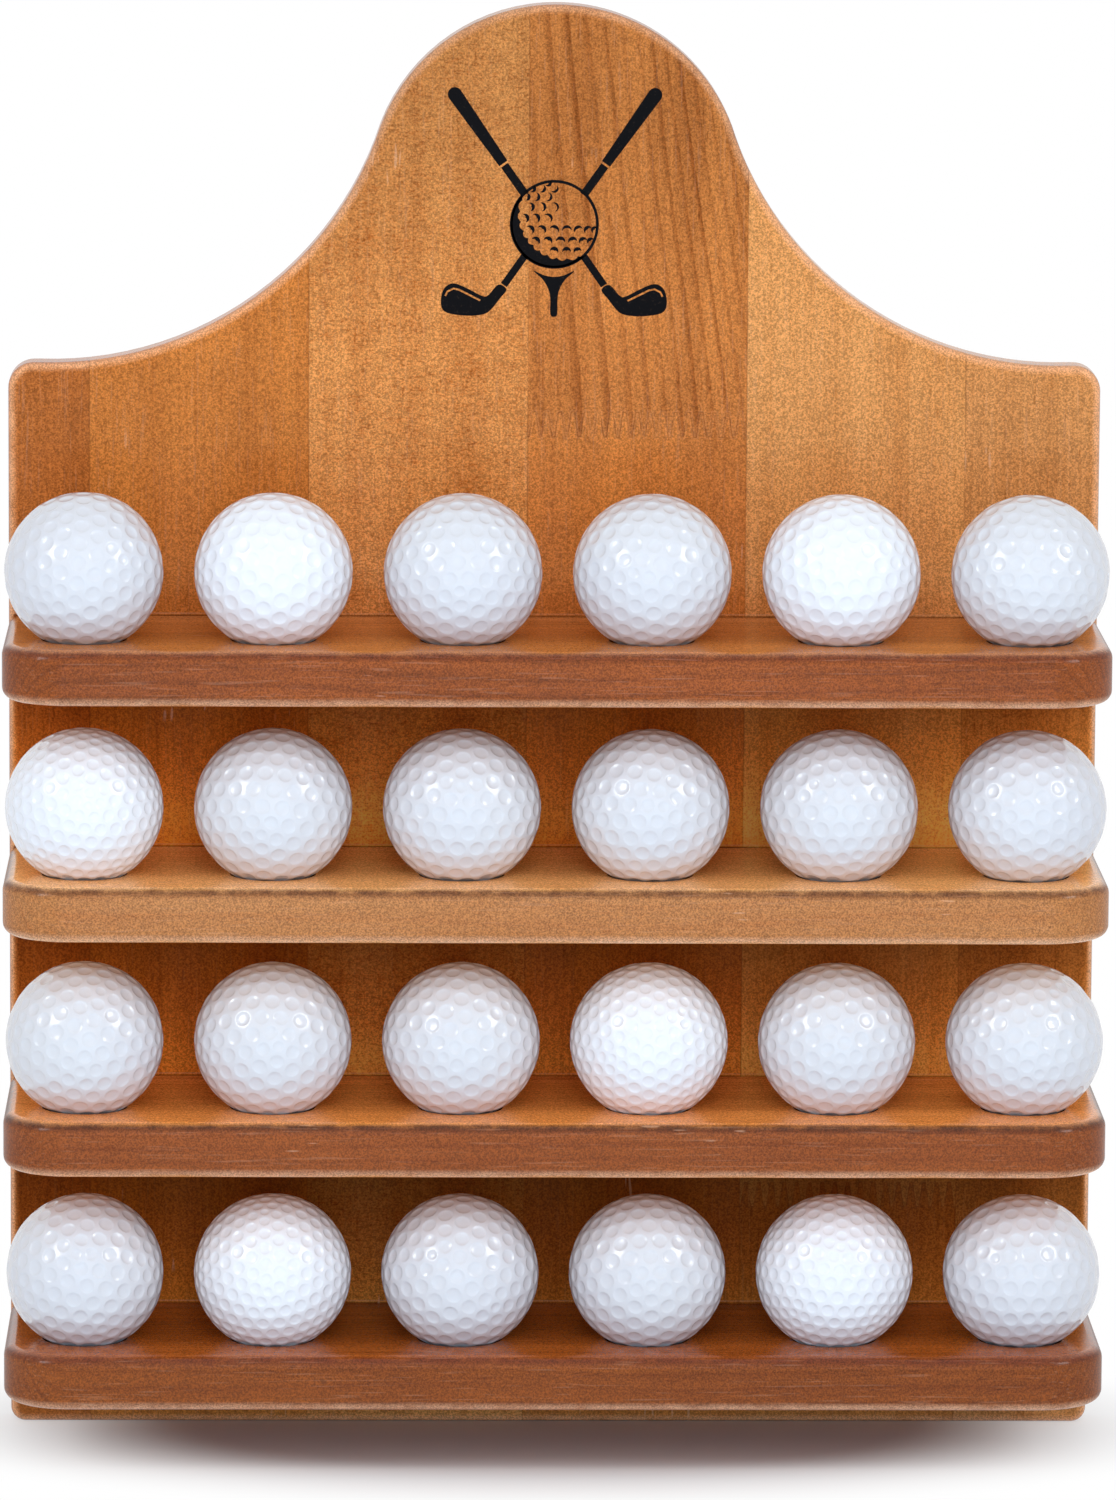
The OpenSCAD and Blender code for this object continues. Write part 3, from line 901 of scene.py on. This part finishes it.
def polar(centre, radius, angle):
    """The point at that distance and in that direction from the centre."""
    return centre + radius * Vector((math.cos(angle), math.sin(angle)))


def circle(radius, steps=72):
    """Outline of a circle round the origin."""
    return [polar(Vector((0, 0)), radius, math.tau * i / steps) for i in range(steps)]


def crescent(centre, radius, way, spread, thick, scallops=0, bite=0.0, steps=14):
    """Outline of a crescent on a circle's rim: it is thickest towards way and tapers off at spread.
    Its inner side may have scallops, each a bite deep."""
    angles = [way + spread * (2 * i / steps - 1) for i in range(steps + 1)]
    rim = [polar(centre, radius, a) for a in angles]
    inner = []
    for a in reversed(angles):
        turn = (a - way) / spread
        depth = thick * math.cos(turn * math.pi / 2)
        depth -= min(depth, bite * abs(math.sin(turn * scallops * math.pi / 2)))
        inner.append(polar(centre, radius - depth, a))
    return rim + inner[1:-1]


def smooth_outline(corners, steps=8):
    """A closed smooth curve through corner points, with a cubic between each two of them."""
    points = [Vector(c) for c in corners]
    count = len(points)
    made = []
    for i in range(count):
        p0, p1, p2, p3 = (points[(i + k) % count] for k in (-1, 0, 1, 2))
        for s in range(steps):
            t = s / steps
            made.append(
                0.5 * (2 * p1 + (p2 - p0) * t + (2 * p0 - 5 * p1 + 4 * p2 - p3) * t ** 2
                       + (3 * p1 - p0 - 3 * p2 + p3) * t ** 3)
            )
    return made


def mirrored(outline):
    """An outline's mirror image from left to right."""
    return [Vector((-point.x, point.y)) for point in reversed(outline)]


def line_outline(path, width):
    """Outline of a line of even width along a path."""
    points = [Vector(p) for p in path]
    sides = ([], [])
    for i, point in enumerate(points):
        way = points[min(i + 1, len(points) - 1)] - points[max(i - 1, 0)]
        across = Vector((-way.y, way.x)).normalized() * width / 2
        sides[0].append(point + across)
        sides[1].append(point - across)
    return sides[0] + sides[1][::-1]


def club_shapes():
    """Outlines of the club that hangs from upper left to lower right, and of its twin, in
    millimetres from the middle of the printed ball."""
    grip = bar((-27.1, 35.2), (-13.9, 16.5), 3.9, 2.7, round_start=True)
    upper_shaft = bar((-13.6, 16.0), (-7.9, 8.0), 2.3, 2.3)
    lower_shaft = bar((8.0, -8.6), (13.6, -16.6), 2.0, 2.0)
    head = smooth_outline([
        (12.9, -17.8), (15.1, -16.5), (17.8, -19.3), (19.4, -19.6), (23.4, -17.6), (26.5, -16.3),
        (28.4, -16.4), (30.0, -17.9), (30.7, -20.8), (30.2, -23.3), (28.0, -24.5), (23.0, -25.0),
        (18.9, -24.5), (16.9, -23.1), (14.7, -20.3),
    ])
    groove_path = [(29.5, -19.6), (28.9, -18.4), (27.3, -17.6), (25.8, -17.9), (20.0, -20.8)]
    groove = line_outline(groove_path, width=0.5)
    one = [[grip], [upper_shaft], [lower_shaft], [head, groove]]
    return one + [[mirrored(part) for part in shape] for shape in one]


def ball_shapes():
    """Outlines of the printed ball: its rim, its scalloped shade and the shaded edges of its dimples,
    which lie in staggered rows round it and open towards the light."""
    radius = 12.1
    rim = 0.8
    rows = 8
    lowest_row = math.radians(-37)
    row_step = math.radians(15)
    dimple_step = 3.45
    last_turn = math.radians(72)
    shade_way = math.radians(225)
    shade_spread = math.radians(98)
    shade_thick = 3.9
    clear = 0.75
    dimple_spread = math.radians(105)
    light = Vector((3, 6))
    shade = crescent(
        Vector((0, 0)), radius - 0.3, shade_way, shade_spread, shade_thick,
        scallops=12, bite=0.7, steps=144,
    )
    shapes = [[circle(radius), circle(radius - rim)], [shade]]
    for row in range(rows):
        latitude = lowest_row + row * row_step
        row_radius = radius * math.cos(latitude)
        for column in range(-4, 5):
            longitude = (column + row % 2 / 2) * dimple_step / row_radius
            if abs(longitude) > last_turn:
                continue
            at = Vector((row_radius * math.sin(longitude), radius * math.sin(latitude)))
            turn = (math.atan2(at.y, at.x) - shade_way + math.pi) % math.tau - math.pi
            shade_here = shade_thick * max(0, math.cos(turn / shade_spread * math.pi / 2))
            bleached = at.x > 1.2 and at.y > 0
            if bleached or at.length > radius - shade_here - clear:
                continue
            to_light = light - at
            towards_viewer = math.sqrt(1 - (at.length / radius) ** 2)
            dimple_radius = 0.8 + 0.5 * towards_viewer
            thick = 0.40 + 0.065 * to_light.length
            way = math.atan2(to_light.y, to_light.x)
            shapes.append([crescent(at, dimple_radius, way, dimple_spread, thick)])
    return shapes


def tee_shapes():
    """Outline of the tee under the ball: a hollow cup on a thin stem."""
    right = [
        (5.3, -12.7), (5.0, -13.3), (3.1, -15.0), (1.7, -17.3), (1.0, -20.0), (0.95, -24.4),
        (0.0, -25.2),
    ]
    left = [(-x, y) for x, y in reversed(right[:-1])]
    top = [(-2.6, -13.9), (0.0, -14.3), (2.6, -13.9)]
    return [[smooth_outline(right + left + top, steps=5)]]


def ink_material():
    """Dull black ink with pinholes where the grain shows through."""
    emblem = bpy.context.scene.rack_emblem
    material, g, shader, coordinates = new_material("printing ink")
    mottle = g.group(shared("Speckle", speckle), {"Vector": coordinates["Object"], "Size": 0.9 * MM})
    inky_wood = [0.10, 0.065, 0.045, 1]
    pinholes = g.step(mottle["Speckle"], 0.80, 0.98)
    g.feed(shader.inputs["Base Color"], g.lay([*emblem.ink_color, 1], inky_wood, pinholes, 0.12))
    g.feed(shader.inputs["Roughness"], g.step(mottle["Blotches"], 0, 1, 0.45, 0.6))
    g.feed(shader.inputs["Normal"], bump(g, mottle["Speckle"], 0.02 * MM))
    shader.inputs["Specular IOR Level"].default_value = 0.05
    return material


class RACK_OT_emblem(bpy.types.Operator):
    """Print the crossed clubs, ball and tee on the crown"""

    bl_idname = "rack.emblem"
    bl_label = "Emblem"

    def execute(self, context):
        emblem = context.scene.rack_emblem
        material = ink_material()
        parts = {
            "emblem_clubs": club_shapes(), "emblem_ball": ball_shapes(), "emblem_tee": tee_shapes(),
        }
        off_middle = -0.5 * MM
        centre = Vector((off_middle, FRONT_Y, BOTTOM_Z + emblem.centre_height))
        for name, shapes in parts.items():
            pieces = [self.printed(outlines, emblem.ink_height) for outlines in shapes]
            deselect()
            for piece in pieces:
                piece.select_set(True)
            context.view_layer.objects.active = pieces[0]
            bpy.ops.object.join()
            piece = context.object
            piece.name = name
            piece.data.transform(Matrix.Translation(centre) @ Matrix.Rotation(math.pi / 2, 4, "X"))
            piece.data.materials.clear()
            piece.data.materials.append(material)
            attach(piece, "root")
        return {"FINISHED"}

    @staticmethod
    def printed(outlines, height):
        """A flat plate of ink with the given outlines. One that lies in another is a hole."""
        curve = bpy.data.curves.new("print", "CURVE")
        curve.dimensions = "2D"
        curve.fill_mode = "BOTH"
        curve.extrude = height / 2
        for outline in outlines:
            spline = curve.splines.new("POLY")
            spline.points.add(len(outline) - 1)
            for point, at in zip(spline.points, outline):
                point.co = (at.x * MM, at.y * MM, 0, 1)
            spline.use_cyclic_u = True
        piece = bpy.data.objects.new("print", curve)
        bpy.context.scene.collection.objects.link(piece)
        pick(piece)
        bpy.ops.object.convert(target="MESH")
        return bpy.context.object


def metal_material(name, color, roughness, scratch_scales):
    """Zinc plate with dull patches and fine scratches, which run along the axis of lowest scale."""
    material, g, shader, coordinates = new_material(name)
    mottle = g.group(shared("Speckle", speckle), {"Vector": coordinates["Object"], "Size": 1.2 * MM})
    scratches = g.grain(coordinates["Object"], scratch_scales, 2, 0.6)[0]
    dull = [0.72 * c for c in color] + [1]
    g.feed(shader.inputs["Base Color"], g.mix(mottle["Blotches"], [*color, 1], dull))
    rough = g.step(scratches, 0.3, 0.7, roughness - 0.08, roughness + 0.08)
    g.feed(shader.inputs["Roughness"], g.sum(rough, g.product(mottle["Speckle"], 0.06)))
    g.feed(shader.inputs["Normal"], bump(g, scratches, 0.01 * MM))
    shader.inputs["Metallic"].default_value = 1.0
    return material


class RACK_OT_hardware(bpy.types.Operator):
    """Plate the screws and the keyhole hangers with zinc"""

    bl_idname = "rack.hardware"
    bl_label = "Screws and hangers"

    def execute(self, context):
        yellow = metal_material(
            "yellow zinc", color=(0.66, 0.55, 0.34), roughness=0.34, scratch_scales=(2500, 2500, 2500),
        )
        bright = metal_material(
            "bright zinc", color=(0.46, 0.47, 0.49), roughness=0.36, scratch_scales=(4000, 4000, 90),
        )
        for name in SCREWS:
            finish_node(name, yellow)
        for name in PLATES:
            finish_node(name, bright)
        return {"FINISHED"}


def seen_directly(graph):
    """1 for rays from the camera and for those that a glossy or clear surface sends on."""
    path = graph.add("ShaderNodeLightPath").outputs
    seen = graph.math("MAXIMUM", path["Is Camera Ray"], path["Is Glossy Ray"])
    return graph.math("MAXIMUM", seen, path["Is Transmission Ray"])


def soft_lamp(name, power, azimuth, elevation, distance, size, reflected=True):
    """An oblong lamp that looks at the middle of the rack. Its direction is in degrees, azimuth 0
    being in front. A lamp that isn't reflected leaves no highlight."""
    lamp = bpy.data.lights.new(name, "AREA")
    lamp.shape = "RECTANGLE"
    lamp.size, lamp.size_y = size
    lamp.energy = power
    a, e = math.radians(azimuth), math.radians(elevation)
    way = Vector((math.sin(a) * math.cos(e), -math.cos(a) * math.cos(e), math.sin(e)))
    stand = bpy.data.objects.new(name, lamp)
    stand.location = MIDDLE + way * distance
    stand.rotation_mode = "QUATERNION"
    stand.rotation_quaternion = way.to_track_quat("Z", "Y")
    stand.visible_camera = False
    stand.visible_glossy = reflected
    bpy.context.scene.collection.objects.link(stand)
    return lamp


def floor_material(centre):
    """Pale floor that keeps the rack's shadow and fades into the white background round it."""
    material, g, shader, coordinates = new_material("studio floor")
    shader.inputs["Base Color"].default_value = (0.86, 0.85, 0.86, 1)
    shader.inputs["Roughness"].default_value = 0.9
    width = 1.2 * (CAD_HIGH.x - CAD_LOW.x)
    depth = 2.8 * (FRONT_Y - CAD_LOW.y)
    off_centre = g.vector("SUBTRACT", coordinates["Object"], centre)
    away = g.length(g.vector("MULTIPLY", off_centre, (1 / width, 1 / depth, 0)))
    white = g.add("ShaderNodeEmission", {"Color": (1, 1, 1, 1), "Strength": 1.0}).outputs[0]
    fade = g.product(g.step(away, 0.27, 0.55), seen_directly(g))
    mixed = g.add("ShaderNodeMixShader", {0: fade, 1: shader.outputs[0], 2: white})
    output = next(n for n in g.tree.nodes if n.type == "OUTPUT_MATERIAL")
    g.tree.links.new(mixed.outputs[0], output.inputs[0])
    return material


class RACK_OT_studio(bpy.types.Operator):
    """Set up the camera, the lamps, the floor and the white background"""

    bl_idname = "rack.studio"
    bl_label = "Studio"

    def execute(self, context):
        studio = context.scene.rack_studio
        self.camera(studio)
        self.floor(Vector((MIDDLE.x, FRONT_Y, 0)))
        soft_lamp(
            "front lamp", studio.front_power, azimuth=0, elevation=21, distance=1.6,
            size=(0.50, 1.05), reflected=False,
        )
        soft_lamp(
            "top lamp", studio.top_power, azimuth=0, elevation=52, distance=1.4,
            size=(0.9, 0.35), reflected=False,
        )
        for name, azimuth in (("left lamp", -53), ("right lamp", 53)):
            soft_lamp(name, studio.side_power, azimuth, elevation=30, distance=1.7, size=(0.4, 0.5))
        glow = soft_lamp(
            "table glow", studio.table_power, azimuth=0, elevation=-6, distance=1.1,
            size=(0.9, 0.12), reflected=False,
        )
        glow.color = (0.34, 0.70, 1.0)
        self.background(studio)
        context.scene.view_settings.view_transform = "Standard"
        return {"FINISHED"}

    @staticmethod
    def camera(studio):
        sensor = 36
        camera = bpy.data.objects.new("camera", bpy.data.cameras.new("camera"))
        camera.data.sensor_width = sensor
        camera.data.lens = sensor / 2 / math.tan(studio.field_of_view / 2)
        turn = (Matrix.Rotation(-studio.camera_yaw, 4, "Z")
                @ Matrix.Rotation(math.pi / 2 - studio.camera_pitch, 4, "X")
                @ Matrix.Rotation(studio.camera_roll, 4, "Z"))
        camera.matrix_world = Matrix.Translation(studio.camera_place) @ turn
        bpy.context.scene.collection.objects.link(camera)
        bpy.context.scene.camera = camera

    @staticmethod
    def floor(centre):
        deselect()
        gap = 0.05 * MM
        bpy.ops.mesh.primitive_plane_add(size=3, location=(0, 0, BOTTOM_Z - gap))
        floor = bpy.context.object
        floor.name = "studio_floor"
        bpy.ops.object.transform_apply(location=True)
        floor.data.materials.append(floor_material(centre))

    @staticmethod
    def background(studio):
        world = bpy.data.worlds.new("studio")
        bpy.context.scene.world = world
        world.use_nodes = True
        world.node_tree.nodes.clear()
        g = Graph(world.node_tree)
        cool_white = {"Color": (0.93, 0.96, 1, 1), "Strength": studio.fill}
        fill = g.add("ShaderNodeBackground", cool_white).outputs[0]
        white = g.add("ShaderNodeBackground", {"Color": (1, 1, 1, 1), "Strength": 1.0}).outputs[0]
        mixed = g.add("ShaderNodeMixShader", {0: seen_directly(g), 1: fill, 2: white}).outputs[0]
        g.add("ShaderNodeOutputWorld", {0: mixed})


class RACK_PT_panel(bpy.types.Panel):
    """The rack's pieces and settings in the sidebar"""

    bl_label = "Golf Ball Rack"
    bl_space_type = "VIEW_3D"
    bl_region_type = "UI"
    bl_category = "Ball Rack"

    def draw(self, context):
        for operator in OPERATORS:
            self.layout.operator(operator.bl_idname)
        for settings in SETTINGS:
            box = self.layout.box()
            group = getattr(context.scene, settings)
            for name in group.bl_rna.properties.keys():
                if name not in ("name", "rna_type"):
                    box.prop(group, name)


SETTINGS = {
    "rack_wood": WoodFinish, "rack_ball": BallCover, "rack_emblem": EmblemPrint, "rack_studio": Studio,
}
OPERATORS = (
    RACK_OT_staves, RACK_OT_shelves, RACK_OT_balls, RACK_OT_emblem, RACK_OT_hardware, RACK_OT_studio,
)
CLASSES = (*SETTINGS.values(), *OPERATORS, RACK_PT_panel)


def register():
    for cls in CLASSES:
        bpy.utils.register_class(cls)
    for name, cls in SETTINGS.items():
        setattr(bpy.types.Scene, name, PointerProperty(type=cls))


def unregister():
    for name in SETTINGS:
        delattr(bpy.types.Scene, name)
    for cls in reversed(CLASSES):
        bpy.utils.unregister_class(cls)


def main():
    register()
    bpy.ops.rack.studio()
    bpy.ops.rack.staves()
    bpy.ops.rack.shelves()
    bpy.ops.rack.balls()
    bpy.ops.rack.emblem()
    bpy.ops.rack.hardware()


if __name__ == "__main__":
    main()
